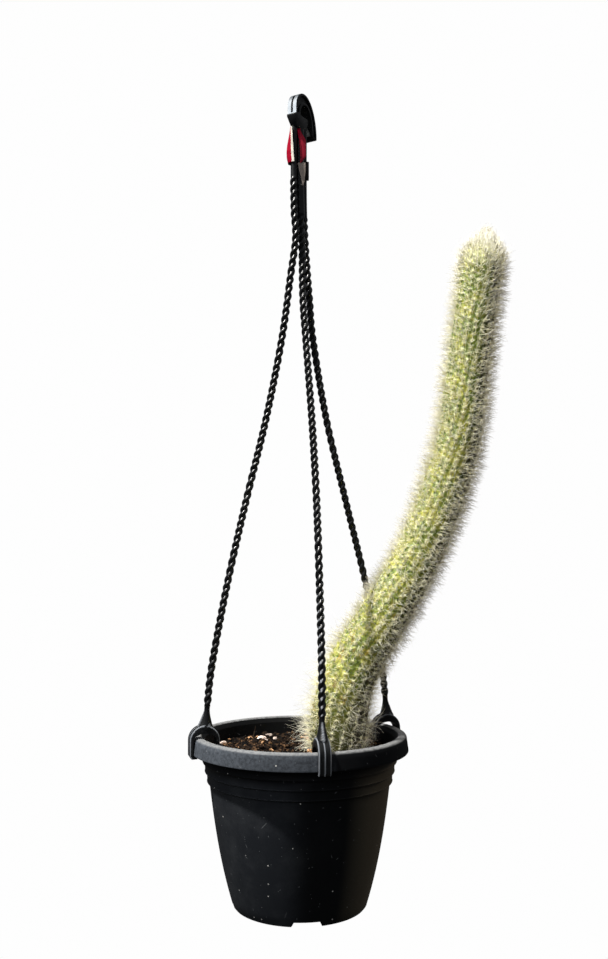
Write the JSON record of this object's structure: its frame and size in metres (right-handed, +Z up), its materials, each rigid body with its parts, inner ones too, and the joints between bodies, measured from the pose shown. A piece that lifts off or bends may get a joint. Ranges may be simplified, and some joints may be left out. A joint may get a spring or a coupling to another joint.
{
  "type": "variegated monkey tail cactus in a hanging pot",
  "caption": "Hairy ribbed column cactus leaning out of a round tapered plastic pot, carried by twisted strands that clip over its rim and meet in a hook.",
  "frame": {"origin": "the seat at the top of the hook's throat, where the rail that carries it bears", "axes": "+Z up; the view in the picture looks along +Y, with +X to its right"},
  "size_m": [0.2252, 0.1545, 0.5705],
  "materials": {
    "black_plastic": "semi-matte moulded polypropylene, lightly scuffed",
    "potting_soil": "dark crumbly bark and peat mix with pale pumice bits",
    "cactus_skin": "yellow and green mottled skin under long cream hairs",
    "red_label": "glossy red film, off-white inside"
  },
  "bodies": {
    "root": {"pot": "black_plastic", "soil": "potting_soil", "stem": "cactus_skin", "hook": "black_plastic", "strand_left": "black_plastic", "strand_front": "black_plastic", "strand_right": "black_plastic", "tag": "red_label"}
  },
  "joints": []
}
